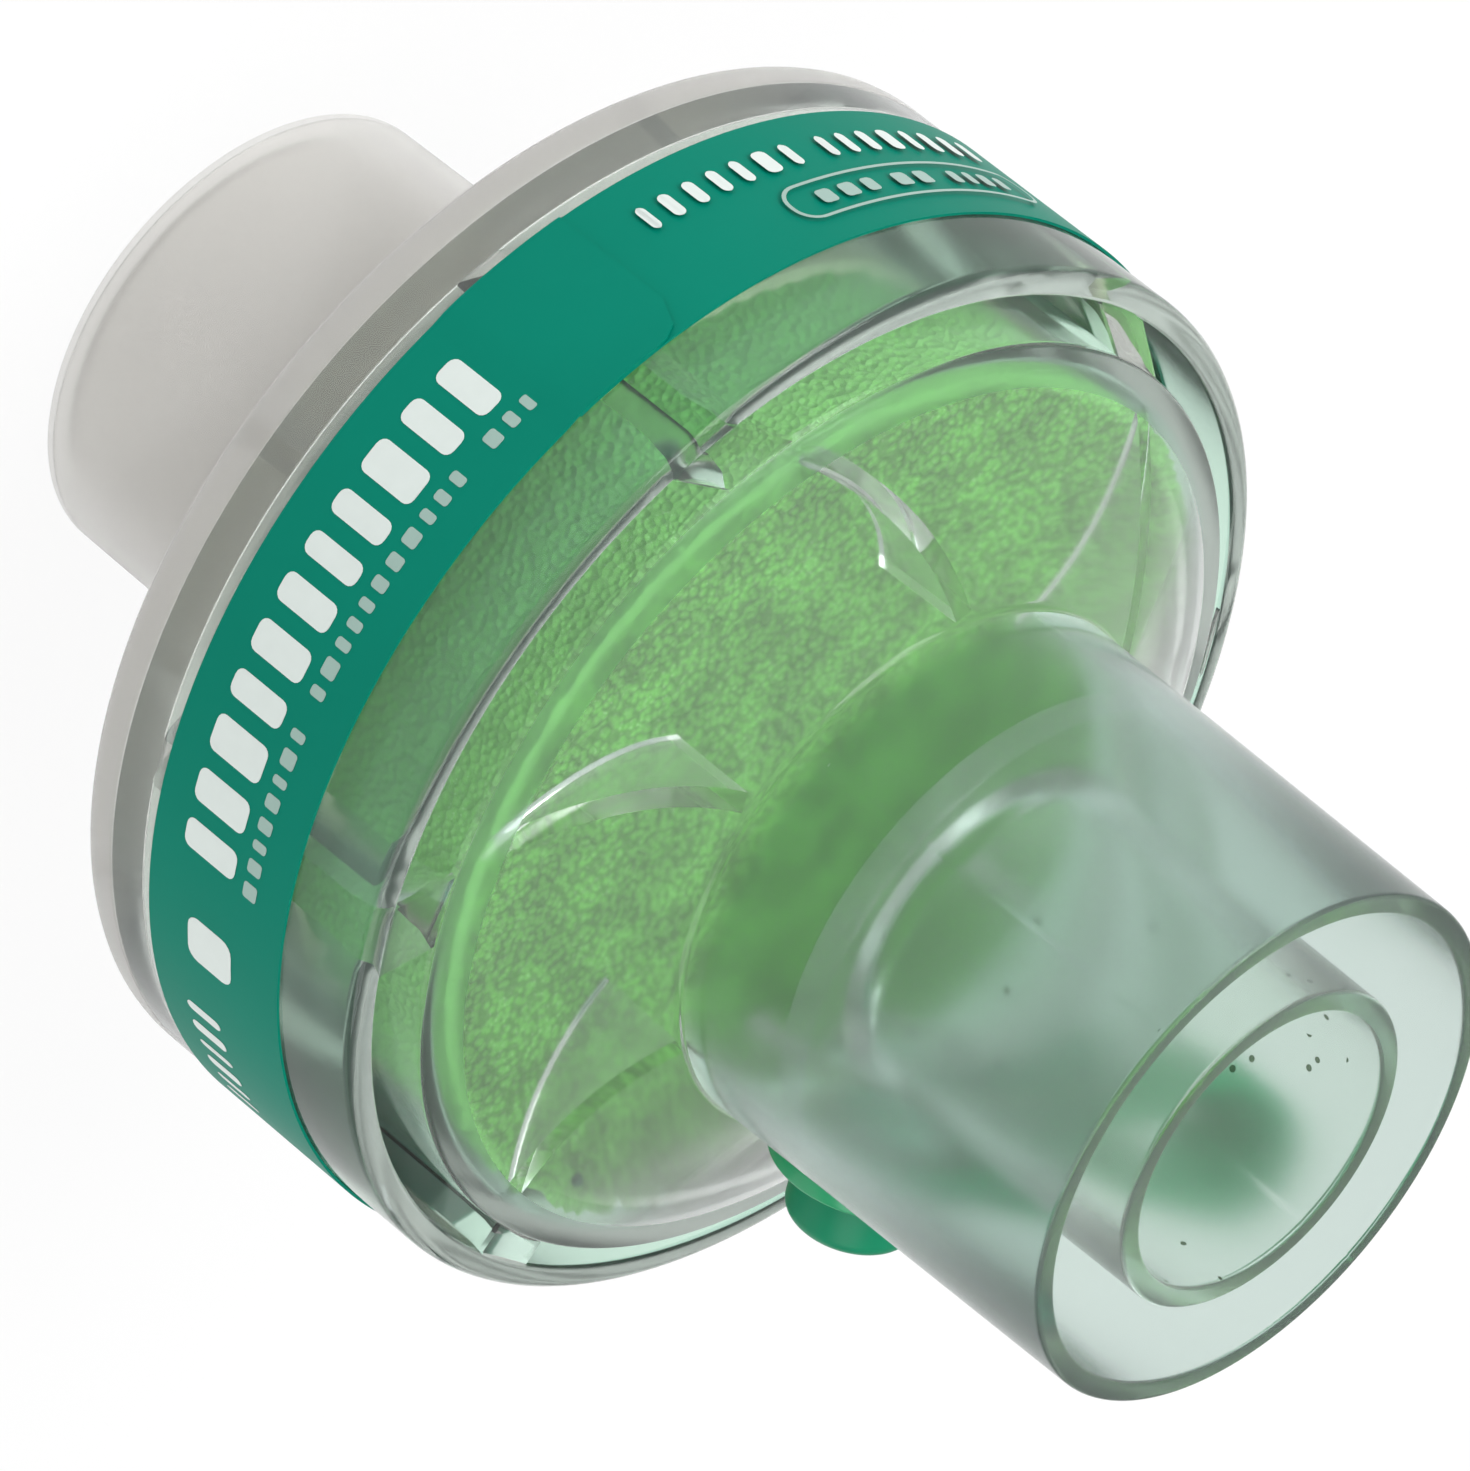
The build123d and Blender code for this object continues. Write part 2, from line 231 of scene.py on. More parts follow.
def lathe(bm, outline, segments, axis_matrix=Matrix.Identity(4)):
    """Adds a closed turned form to the mesh: the outline's points are (radius, height) in millimetres."""
    rings = []
    for radius, height in outline:
        if radius < 1e-6:
            rings.append([bm.verts.new(axis_matrix @ Vector((0, 0, height * MM)))])
            continue
        ring = []
        for step in range(segments):
            angle = 2 * math.pi * step / segments
            spot = Vector((radius * math.cos(angle), radius * math.sin(angle), height)) * MM
            ring.append(bm.verts.new(axis_matrix @ spot))
        rings.append(ring)
    for first, second in zip(rings, rings[1:] + rings[:1]):
        for step in range(segments):
            after = (step + 1) % segments
            corners = [first[step % len(first)], first[after % len(first)]]
            corners += [second[after % len(second)], second[step % len(second)]]
            corners = list(dict.fromkeys(corners))
            if len(corners) > 2:
                bm.faces.new(corners)


def loft(bm, sections):
    """Adds a closed form through a row of sections, each a list of points in millimetres."""
    rows = [[bm.verts.new(Vector(point) * MM) for point in section] for section in sections]
    for first, second in zip(rows, rows[1:]):
        for index in range(len(first)):
            after = (index + 1) % len(first)
            bm.faces.new((first[index], first[after], second[after], second[index]))
    bm.faces.new(list(reversed(rows[0])))
    bm.faces.new(rows[-1])


def make_object(bm, name):
    bmesh.ops.recalc_face_normals(bm, faces=bm.faces)
    mesh = bpy.data.meshes.new(name)
    bm.to_mesh(mesh)
    bm.free()
    piece = bpy.data.objects.new(name, mesh)
    bpy.context.scene.collection.objects.link(piece)
    return piece


def combine(piece, other, operation):
    """Joins, or cuts, another mesh into the piece, and removes the other."""
    modifier = piece.modifiers.new(operation, "BOOLEAN")
    modifier.operation = operation
    modifier.solver = "EXACT"
    modifier.object = other
    graph = bpy.context.evaluated_depsgraph_get()
    mesh = bpy.data.meshes.new_from_object(piece.evaluated_get(graph), depsgraph=graph)
    piece.modifiers.clear()
    piece.data = mesh
    bpy.data.objects.remove(other)


def smooth(piece, sharp_degrees=32):
    """Shades the piece smooth, apart from edges sharper than an angle."""
    bm = bmesh.new()
    bm.from_mesh(piece.data)
    bmesh.ops.remove_doubles(bm, verts=bm.verts, dist=1e-7)
    limit = math.radians(sharp_degrees)
    for face in bm.faces:
        face.smooth = True
    for edge in bm.edges:
        edge.smooth = len(edge.link_faces) == 2 and edge.calc_face_angle(0) < limit
    bm.to_mesh(piece.data)
    bm.free()


def dress(piece, material, slot, *nodes, body=BODY):
    """Gives a finished piece its material, the nodes it stands for and the body it rides on."""
    piece.data.materials.clear()
    piece.data.materials.append(material)
    if nodes:
        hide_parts(*nodes)
    if body:
        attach(piece, body)
    return piece


def polar(radius, degrees, height=0.0):
    angle = math.radians(degrees)
    return Vector((radius * math.cos(angle), radius * math.sin(angle), height))


def along_x(x=0.0):
    """Turns a form made along Z to stand out along the sampling port."""
    return Matrix.Translation(Vector((x, 0, LUER_Z)) * MM) @ Matrix.Rotation(math.radians(90), 4, "Y")


# Settings

class HousingSettings(bpy.types.PropertyGroup):
    segments: IntProperty(
        name="Segments", description="Steps round each turned form", default=192, min=24)
    tint: FloatVectorProperty(
        name="Tint", description="Colour of the clear plastic",
        subtype="COLOR", default=(0.89, 0.935, 0.905), min=0, max=1)
    neck_tint: FloatVectorProperty(
        name="Neck tint", description="Colour of the near port's frosted outer face",
        subtype="COLOR", default=(0.42, 0.54, 0.50), min=0, max=1)
    # The skirt's tint is a painted reflection: the label's green light in the clear wall above the label.
    skirt_painted_light_tint: FloatVectorProperty(
        name="Skirt tint", description="Colour of the skirt's outer face, near the foam",
        subtype="COLOR", default=(0.48, 0.80, 0.62), min=0, max=1)
    edge_tint: FloatVectorProperty(
        name="Edge tint", description="Colour of the rims, where light runs along the wall",
        subtype="COLOR", default=(0.66, 0.80, 0.75), min=0, max=1)
    haze: FloatProperty(
        name="Haze", description="Haze of the cone and the skirt", default=0.1, min=0, max=1)
    neck_haze: FloatProperty(
        name="Neck haze", description="Haze of the near port, which is frosted", default=0.18, min=0, max=1)
    clearness: FloatProperty(
        name="Clearness", description="Share of light that the clear plastic lets through",
        default=0.97, min=0, max=1)
    milk: FloatVectorProperty(
        name="Milk", description="Colour of the milky rear moulding",
        subtype="COLOR", default=(0.88, 0.87, 0.845), min=0, max=1)
    milk_clearness: FloatProperty(
        name="Milk clearness", description="Share of light that the milky plastic lets through",
        default=0.75, min=0, max=1)


class MediaSettings(bpy.types.PropertyGroup):
    foam_colour: FloatVectorProperty(
        name="Foam", description="Colour of the exchange foam",
        subtype="COLOR", default=(0.075, 0.265, 0.038), min=0, max=1)
    felt_colour: FloatVectorProperty(
        name="Felt", description="Colour of the filter felt",
        subtype="COLOR", default=(0.78, 0.72, 0.58), min=0, max=1)
    pore: FloatProperty(
        name="Pore", description="Size of a foam pore, in millimetres", default=0.55)


class LabelSettings(bpy.types.PropertyGroup):
    colour: FloatVectorProperty(
        name="Label", description="Colour of the label",
        subtype="COLOR", default=(0.0, 0.185, 0.125), min=0, max=1)
    print_colour: FloatVectorProperty(
        name="Print", description="Colour of the blocks on the label",
        subtype="COLOR", default=(0.62, 0.68, 0.65), min=0, max=1)


class CapSettings(bpy.types.PropertyGroup):
    colour: FloatVectorProperty(
        name="Cap", description="Colour of the cap and its strap",
        subtype="COLOR", default=(0.0, 0.22, 0.105), min=0, max=1)


class StageSettings(bpy.types.PropertyGroup):
    floor_colour: FloatVectorProperty(
        name="Floor", description="Colour of the floor",
        subtype="COLOR", default=(0.9, 0.9, 0.9), min=0, max=1)
    world_level: FloatProperty(
        name="World", description="Strength of the light from all round", default=0.75, min=0)
    dark_share: FloatProperty(
        name="Dark side", description="Share of the world's light on its dark side",
        default=0.4, min=0, max=1)
    bright_side: FloatVectorProperty(
        name="Bright side", description="Direction of the world's bright side",
        subtype="DIRECTION", default=(-0.62, 0.48, 0.62))
    lamp_level: FloatProperty(
        name="Lamps", description="Strength of the studio lamps", default=1.0, min=0)


# Front housing sizes, in millimetres and degrees
NECK_RIM_R = 12.15
NECK_FOOT_R = 12.47
NECK_LENGTH = 21.05
CONE_INNER_R = 20.4
CONE_RISE = 4.234
BAND_RISE = 0.68
SKIRT_STEP = 1.04
POCKET_INNER_R = 22.0
SKIRT_INNER_R = 23.6
POCKET_FLOOR = 1.2
CHAMBER_R = 20.8
CONE_DROP = 1.36
CAVITY_R = 11.3
SOCKET_MOUTH_R = 11.2
SOCKET_DEPTH = 14.6
SOCKET_TAPER = 1 / 80
WEB = 1.5
TUBE_END_R = 7.6
TUBE_LAND = 4.0
TUBE_BORE_R = 6.6
TUBE_LAND_R = TUBE_END_R + SOCKET_TAPER * (SOCKET_DEPTH - TUBE_LAND)
SOCKET_FLOOR_R = SOCKET_MOUTH_R - SOCKET_TAPER * SOCKET_DEPTH
NECK_FOOT_Z = TOP_Z - NECK_LENGTH
BAND_TOP_Z = NECK_FOOT_Z - CONE_RISE
BAND_FOOT_Z = BAND_TOP_Z - BAND_RISE
SKIRT_TOP_Z = BAND_FOOT_Z - SKIRT_STEP
SOCKET_FLOOR_Z = TOP_Z - SOCKET_DEPTH
POCKET_FLOOR_Z = SEAM_Z + POCKET_FLOOR
CONE_SLOPE = CONE_RISE / (CONE_INNER_R - NECK_FOOT_R)
LUER_FOOT_R = 2.9
LUER_TIP_R = 2.75
LUER_REACH = 13.5
LUER_DEPTH = 5.0
LUER_BORE_R = 2.15
PATTERN = 6
VANE_POINTS = ((CONE_INNER_R, 22.0), (16.15, 10.5), (11.9, 2.0))
BRIDGE_ANGLES = (27.3, 33.5)
PARTING_ANGLES = (-133.5, 46.5)


def cone_inner_z(radius):
    """Height of the front cone's inner face."""
    return BAND_TOP_Z + (CONE_INNER_R - radius) * CONE_SLOPE - CONE_DROP


def front_outline():
    return [
        (NECK_RIM_R, TOP_Z, 0.22),
        (NECK_FOOT_R, NECK_FOOT_Z, 0.5),
        (CONE_INNER_R, BAND_TOP_Z, 0.25),
        (POCKET_INNER_R, BAND_FOOT_Z, 0.3),
        (POCKET_INNER_R, POCKET_FLOOR_Z, 0.3),
        (SKIRT_INNER_R, POCKET_FLOOR_Z, 0.3),
        (SKIRT_INNER_R, SKIRT_TOP_Z, 0.25),
        (SKIRT_R, SKIRT_TOP_Z, 0.9),
        (SKIRT_R, SEAM_Z, 0.1),
        (CHAMBER_R, SEAM_Z, 0),
        (CHAMBER_R, cone_inner_z(CHAMBER_R), 0.3),
        (CAVITY_R, cone_inner_z(CAVITY_R), 0.4),
        (CAVITY_R, SOCKET_FLOOR_Z - WEB, 0),
        (SOCKET_FLOOR_R, SOCKET_FLOOR_Z, 0),
        (SOCKET_MOUTH_R, TOP_Z, 0.22),
    ]


def inner_tube_outline():
    """The male tube in the near port with its web, which meets the housing's wall."""
    return [
        (TUBE_BORE_R, SOCKET_FLOOR_Z - WEB, 0.3),
        (TUBE_BORE_R, TOP_Z, 0.2),
        (TUBE_END_R, TOP_Z, 0.2),
        (TUBE_LAND_R, SOCKET_FLOOR_Z + TUBE_LAND, 0),
        (TUBE_LAND_R, SOCKET_FLOOR_Z, 0.25),
        (SOCKET_FLOOR_R - 0.02, SOCKET_FLOOR_Z, 0),
        (SOCKET_FLOOR_R - 0.02, SOCKET_FLOOR_Z - WEB, 0),
    ]


def blade_section(spot, along, width, foot, top, soft=0.12):
    """Section of an upright blade, square to its run, with softened lower corners."""
    side = Vector((-along.y, along.x, 0)).normalized()
    half = width / 2
    outline = [(-half, top), (-half, foot + soft), (-half + soft, foot)]
    outline += [(half - soft, foot), (half, foot + soft), (half, top)]
    return [Vector((spot.x, spot.y, height)) + side * offset for offset, height in outline]


def swirl_vane(bm, turn, width=0.9, steps=14):
    """A curved blade under the cone, from the ring in to the neck."""
    foot = FOAM_HIGH.z + 0.1
    ends = [polar(radius, degrees + turn) for radius, degrees in VANE_POINTS]
    spots = []
    for step in range(steps + 1):
        t = step / steps
        weights = (2 * (t - 0.5) * (t - 1), -4 * t * (t - 1), 2 * t * (t - 0.5))
        spots.append(sum((end * weight for end, weight in zip(ends, weights)), Vector((0, 0, 0))))
    sections = []
    for index, spot in enumerate(spots):
        along = spots[min(index + 1, steps)] - spots[max(index - 1, 0)]
        top = cone_inner_z(spot.length) + CONE_DROP / 2
        sections.append(blade_section(spot, along, width, foot, top))
    loft(bm, sections)


def parting_line(bm, degrees, width=0.14, height=0.05):
    """The fine line that the mould's halves leave along the near port."""
    side = polar(width / 2, degrees + 90)
    sections = []
    for z, radius in ((NECK_FOOT_Z + 1.5, NECK_FOOT_R - 0.02), (TOP_Z - 0.3, NECK_RIM_R)):
        low, high = polar(radius - 0.1, degrees, z), polar(radius + height, degrees, z)
        sections.append([low - side, high - side, high + side, low + side])
    loft(bm, sections)


def bridge(bm, turn, width=1.45, root=0.35, flare=0.7, flare_height=2.5, soft=0.15, steps=6):
    """A slanted web across the pocket, flared at its top, in sections that follow the two walls."""
    inner = polar(POCKET_INNER_R - root, BRIDGE_ANGLES[0] + turn)
    outer = polar(SKIRT_INNER_R + root, BRIDGE_ANGLES[1] + turn)
    half = width / 2 / math.cos((outer - inner).angle(inner))
    foot = POCKET_FLOOR_Z - root
    sections = []
    for step in range(steps + 1):
        spot = inner.lerp(outer, step / steps)
        radius = spot.length
        share = (radius - POCKET_INNER_R) / (SKIRT_INNER_R - POCKET_INNER_R)
        top = BAND_FOOT_Z - 0.08 - SKIRT_STEP * min(max(share, 0), 1)
        right = [(half, foot), (half, top - flare_height), (half + flare * 0.3, top - flare_height * 0.4)]
        right += [(half + flare, top - soft), (half + flare - soft, top)]
        outline = right + [(-offset, height) for offset, height in reversed(right)]
        middle = math.atan2(spot.y, spot.x)
        section = [(math.degrees(middle + offset / radius), height) for offset, height in outline]
        sections.append([polar(radius, degrees, height) for degrees, height in section])
    loft(bm, sections)


# Finish of the clear plastic
BAND_HAZE = 0.25
VANE_HAZE = 0.06
WEB_FADE = 0.75
SPECK_DENSITY = 900
SPECK_COLOUR = (0.05, 0.07, 0.04)


def clear_plastic(settings):
    """Clear moulded plastic, frosted on the near port and tinted on its rims and outer faces; the green tint
    of the skirt above the label is a painted reflection of the label's light.
    """
    shader = material_shader("clear_plastic")
    cloud = shader.speckle(60, 2)
    height = shader.height()
    radius = shader.radius()
    inside = radius < SOCKET_FLOOR_R - 0.01
    neck = ((height - NECK_FOOT_Z - 0.2) * 0.8).clamped()
    skirt_rim = (height > SKIRT_TOP_Z - 0.25) * (radius > SKIRT_INNER_R - 0.05)
    rim = (height > TOP_Z - 0.06).maximum(skirt_rim)
    band = (height > BAND_FOOT_Z - 0.02) * (height < BAND_TOP_Z + 0.02) * (radius > CONE_INNER_R - 0.02)
    # Painted reflection: the skirt's wall just above the label takes the label's green light as a tint.
    skirt = (radius > SKIRT_R - 1.0) * (height < SKIRT_TOP_Z) * (height > LABEL_HIGH.z - 1.0)
    specks = (shader.cells(SPECK_DENSITY) < 0.14) * (shader.speckle(260) > 0.56)
    specks = specks * (radius < TUBE_BORE_R + 0.05) * inside
    under_cone = (CONE_SLOPE * radius + height) < (cone_inner_z(0) - 0.06)
    vane = under_cone * (radius < CHAMBER_R - 0.1) * (height > FOAM_HIGH.z)
    web = (radius > TUBE_LAND_R + 0.1) * inside * (height > SOCKET_FLOOR_Z - WEB - 0.1)
    paler = [min(1.0, 1.02 * level) for level in settings.tint]
    tint = shader.mix(cloud, rgb(settings.tint), rgb(paler))
    tint = shader.mix(neck * (radius > CAVITY_R + 0.3), tint, rgb(settings.neck_tint))
    tint = shader.mix(skirt, tint, rgb(settings.skirt_painted_light_tint))
    tint = shader.mix(specks, tint, rgb(SPECK_COLOUR))
    tint = shader.mix(rim.maximum(band), tint, rgb(settings.edge_tint))
    frost = neck * (settings.neck_haze - settings.haze) * (0.9 + 0.2 * cloud)
    haze = settings.haze * (0.7 + 0.6 * cloud) + frost + BAND_HAZE * band + VANE_HAZE * vane
    return shader.surface(light_through=0.9, Base_Color=tint, Roughness=haze, Alpha=1.0 - WEB_FADE * web,
                          IOR=1.3, Transmission_Weight=settings.clearness)


def milky_plastic(settings):
    """Milky moulded plastic, which blurs and dims what lies behind it."""
    shader = material_shader("milky_plastic")
    cloud = shader.speckle(45, 3)
    paler = [min(1.0, 1.03 * level) for level in settings.milk]
    milk = shader.mix(cloud, rgb(settings.milk), rgb(paler))
    wave = shader.bump(shader.speckle(120, 2), 0.00002, 0.4)
    return shader.surface(light_through=0.6, Base_Color=milk, Roughness=0.2 + 0.1 * cloud, Normal=wave,
                          IOR=1.4, Transmission_Weight=settings.milk_clearness)


class FILTER_OT_front_housing(bpy.types.Operator):
    """Make the clear front moulding"""
    bl_idname = "filter.front_housing"
    bl_label = "Front housing"

    def execute(self, context):
        settings = context.scene.filter_housing
        bm = bmesh.new()
        lathe(bm, rounded(front_outline()), settings.segments)
        housing = make_object(bm, "clear_front_housing")
        bm = bmesh.new()
        for index in range(PATTERN):
            turn = index * 360 / PATTERN
            swirl_vane(bm, turn)
            bridge(bm, turn)
        for degrees in PARTING_ANGLES:
            parting_line(bm, degrees)
        boss = [(0, LUER_REACH - LUER_DEPTH, 0), (LUER_FOOT_R, LUER_REACH - LUER_DEPTH, 0.2)]
        boss += [(LUER_FOOT_R, NECK_FOOT_R, 0), (LUER_TIP_R, LUER_REACH, 0.15), (0, LUER_REACH, 0)]
        lathe(bm, rounded(boss), 64, along_x())
        combine(housing, make_object(bm, "webs"), "UNION")
        bm = bmesh.new()
        bore = [(0, LUER_REACH - LUER_DEPTH - 1), (LUER_BORE_R - 0.15, LUER_REACH - LUER_DEPTH - 1)]
        bore += [(LUER_BORE_R, LUER_REACH), (LUER_BORE_R, LUER_REACH + 1), (0, LUER_REACH + 1)]
        lathe(bm, bore, 64, along_x())
        combine(housing, make_object(bm, "bore"), "DIFFERENCE")
        smooth(housing)
        material = clear_plastic(settings)
        dress(housing, material, "clear_plastic", "front_housing")
        bm = bmesh.new()
        lathe(bm, rounded(inner_tube_outline()), settings.segments)
        tube = make_object(bm, "clear_inner_tube")
        smooth(tube)
        dress(tube, material, "clear_plastic")
        return {"FINISHED"}


# Rear housing sizes, in millimetres
MALE_END_R = 10.95
MALE_LAND_R = 11.1
FEMALE_MOUTH_R = 7.75
FEMALE_THROAT_R = 7.6
TAPER_LENGTH = 12.0
SHOULDER_Z = 16.4
REAR_CONE_FOOT_R = 12.0
REAR_CONE_FOOT_Z = 16.6
REAR_CONE_END_R = 20.4
FLANGE_FOOT_Z = 19.3
SLOT_INNER_R = 8.85
SLOT_OUTER_R = 9.7
SPIGOT_R = 20.7
SPIGOT_INNER_R = 19.5
REAR_SLOPE = (FLANGE_FOOT_Z - REAR_CONE_FOOT_Z) / (REAR_CONE_END_R - REAR_CONE_FOOT_R)
REAR_CONE_RISE = 1.26
SEAM_GAP = 0.03
RIB_RADII = (8.6, 9.6, 11.5, 15.0, SPIGOT_INNER_R + 0.4)
RIB_FOOT = 2.0
RIB_SLOPE = 2.9
RIB_WIDTH = 1.0


def rear_inner_z(radius):
    """Height of the rear cone's inner face."""
    return REAR_CONE_FOOT_Z + (radius - REAR_CONE_FOOT_R) * REAR_SLOPE + REAR_CONE_RISE


def rear_outline():
    return [
        (FEMALE_MOUTH_R, 0, 0.2),
        (FEMALE_THROAT_R, TAPER_LENGTH, 0),
        (FEMALE_THROAT_R, rear_inner_z(FEMALE_THROAT_R), 0.3),
        (SPIGOT_INNER_R, rear_inner_z(SPIGOT_INNER_R), 0.4),
        (SPIGOT_INNER_R, FELT_LOW.z, 0.2),
        (SPIGOT_R, FELT_LOW.z, 0.2),
        (SPIGOT_R, SEAM_Z - SEAM_GAP, 0.1),
        (SKIRT_R, SEAM_Z - SEAM_GAP, 0.1),
        (SKIRT_R, FLANGE_FOOT_Z, 0.9),
        (REAR_CONE_END_R, FLANGE_FOOT_Z, 0.5),
        (REAR_CONE_FOOT_R, REAR_CONE_FOOT_Z, 0.3),
        (MALE_LAND_R, SHOULDER_Z, 0.3),
        (MALE_LAND_R, TAPER_LENGTH, 0),
        (MALE_END_R, 0, 0.25),
        (SLOT_OUTER_R, 0, 0.15),
        (SLOT_OUTER_R, TAPER_LENGTH, 0.2),
        (SLOT_INNER_R, TAPER_LENGTH, 0.2),
        (SLOT_INNER_R, 0, 0.15),
    ]


class FILTER_OT_rear_housing(bpy.types.Operator):
    """Make the milky rear moulding"""
    bl_idname = "filter.rear_housing"
    bl_label = "Rear housing"

    def execute(self, context):
        settings = context.scene.filter_housing
        bm = bmesh.new()
        lathe(bm, rounded(rear_outline()), settings.segments)
        housing = make_object(bm, "milky_rear_housing")
        bm = bmesh.new()
        for index in range(PATTERN):
            turn = index * 360 / PATTERN
            sections = []
            for radius in RIB_RADII:
                foot = rear_inner_z(radius) - 0.4
                top = rear_inner_z(RIB_RADII[0]) + RIB_FOOT + (radius - RIB_RADII[0]) * RIB_SLOPE
                top = min(FELT_LOW.z, top) - 0.02
                sections.append(blade_section(polar(radius, turn), polar(1, turn), RIB_WIDTH, foot, top))
            loft(bm, sections)
        combine(housing, make_object(bm, "ribs"), "UNION")
        smooth(housing)
        dress(housing, milky_plastic(settings), "milky_plastic", "rear_housing")
        return {"FINISHED"}


# Foam and felt

def foam_material(settings):
    """Open foam: a mesh of small pores, with painted shade inside them and brighter rims, painted glints on
    the rims, and a side painted paler as painted light.
    """
    shader = material_shader("foam")
    per_metre = 1 / (settings.pore * MM)
    walls = shader.cells(1.5 * per_metre)
    fine = shader.cells(2.3 * per_metre)
    patch = shader.ramp(shader.speckle(420, 3), (0.38, 0.0), (0.62, 1.0))
    base = Vector(settings.foam_colour)
    # Painted shade: the hollow of each pore gets a darker copy of the foam colour, and the rims a lighter
    # one.
    pores = shader.ramp(walls, (0.42, 0.0), (0.62, 1.0))
    dark = shader.mix(patch, rgb(base * 0.5), rgb(base * 0.8))
    light = shader.mix(patch, rgb(base * 0.9), rgb(base * 1.35))
    colour = shader.mix(pores, light, dark)
    # Painted light: the foam's side, near its edge, is painted paler, as if lit through the clear skirt.
    side = ((shader.radius() - FOAM_HIGH.x + 1.0) * 2.0).clamped()
    paler = (base.x * 2.7, base.y * 2.0, base.z * 3.6)
    colour = shader.mix(side * 0.6, colour, rgb(paler))
    # Painted highlights: small pale green glints on the pore rims.
    painted_glints = shader.ramp(fine, (0.08, 1.0), (0.2, 0.0)) * patch
    colour = shader.mix(painted_glints * 0.6, colour, rgb((0.55, 0.85, 0.5)))
    relief = shader.bump(walls, 0.0002, 0.8)
    return shader.surface(Base_Color=colour, Roughness=0.75 + 0.15 * patch, Normal=relief)


def felt_material(settings):
    """Cream felt of fine crossed fibres."""
    shader = material_shader("felt")
    fibre = shader.speckle(2600, 4, 0.7)
    patch = shader.speckle(200, 2)
    base = Vector(settings.felt_colour)
    colour = shader.mix(fibre, rgb(base * 0.8), rgb(base * 1.1))
    colour = shader.mix(patch * 0.3, colour, rgb(base * 0.7))
    relief = shader.bump(fibre, 0.0003, 0.7)
    return shader.surface(Base_Color=colour, Roughness=0.9 + 0.05 * patch, Normal=relief)


# Angle of the foam's most ragged side, in degrees
WORN_SIDE = 10.0


def rough_disc(bm, low, high, radius, rings, segments, edge_wear, face_wear, seed):
    """A disc whose edge is ragged and whose faces are slightly uneven, in millimetres."""
    origin = Vector((seed, 2 * seed, 3 * seed))

    def wear(angle, height, scale):
        spot = polar(scale, angle, height * scale / radius)
        return noise.fractal(spot + origin, 0.9, 2.1, 4)

    outline = [(radius * index / rings, high) for index in range(rings + 1)]
    outline += [(radius, high + (low - high) * share) for share in (0.15, 0.4, 0.7)]
    outline += [(radius * index / rings, low) for index in range(rings, -1, -4)]
    first = len(bm.verts)
    lathe(bm, outline, segments)
    bm.verts.ensure_lookup_table()
    for vert in list(bm.verts)[first:]:
        spot = vert.co / MM
        flat = math.hypot(spot.x, spot.y)
        angle = math.degrees(math.atan2(spot.y, spot.x))
        if flat > 0.9 * radius:
            pull = (flat / radius - 0.9) / 0.1
            worn = 0.3 + 0.9 * max(0.0, math.cos(math.radians(angle - WORN_SIDE)))
            inward = edge_wear * worn * max(0.0, wear(angle, spot.z, 26) + 0.35) * pull
            vert.co.x *= 1 - inward / flat
            vert.co.y *= 1 - inward / flat
        sunk = face_wear * noise.fractal(spot * 1.6 + origin, 0.8, 2.0, 3)
        vert.co.z += (-abs(sunk) if spot.z > (low + high) / 2 else 0.0) * MM


def speck_material():
    """Dark green crumb on the foam."""
    shader = material_shader("foam_speck")
    dark = shader.mix(shader.speckle(2000), rgb((0.0, 0.05, 0.02)), rgb((0.0, 0.08, 0.03)))
    return shader.surface(Base_Color=dark, Roughness=0.8 + 0.1 * shader.speckle(900))


# The crumb on the foam's face: its place and radius, in millimetres
FOAM_SPECK = (16.8, -8.5)
FOAM_SPECK_R = 0.28


class FILTER_OT_foam(bpy.types.Operator):
    """Make the exchange foam"""
    bl_idname = "filter.foam"
    bl_label = "Foam"

    def execute(self, context):
        bm = bmesh.new()
        rough_disc(bm, FOAM_LOW.z, FOAM_HIGH.z, FOAM_HIGH.x, rings=60, segments=300,
                   edge_wear=0.8, face_wear=0.12, seed=3.7)
        foam = make_object(bm, "exchange_foam")
        smooth(foam, 60)
        bm = bmesh.new()
        place = Matrix.Translation(Vector((*FOAM_SPECK, FOAM_HIGH.z + 0.05)) * MM)
        bmesh.ops.create_icosphere(bm, subdivisions=2, radius=FOAM_SPECK_R * MM, matrix=place)
        dress(make_object(bm, "foam_speck"), speck_material(), "foam")
        dress(foam, foam_material(context.scene.filter_media), "foam", "hme_foam")
        return {"FINISHED"}


class FILTER_OT_felt(bpy.types.Operator):
    """Make the filter felt"""
    bl_idname = "filter.felt"
    bl_label = "Felt"

    def execute(self, context):
        bm = bmesh.new()
        rough_disc(bm, FELT_LOW.z, FELT_HIGH.z, FELT_HIGH.x, rings=24, segments=240,
                   edge_wear=0.15, face_wear=0.05, seed=8.1)
        felt = make_object(bm, "filter_felt")
        smooth(felt, 60)
        dress(felt, felt_material(context.scene.filter_media), "felt", "filter_medium")
        return {"FINISHED"}


# Label sizes, in millimetres and degrees
LABEL_THICKNESS = 0.12
LABEL_GAP = 0.03
LABEL_END = -155.5
LABEL_LAP = 14.0
LABEL_CORNER = 1.8
LABEL_DROP = 0.35
PRINT_LIFT = 0.01
PRINT_THICKNESS = 0.012
PRINT_STEP = 0.6
CLIMB_ANGLE = 2.0


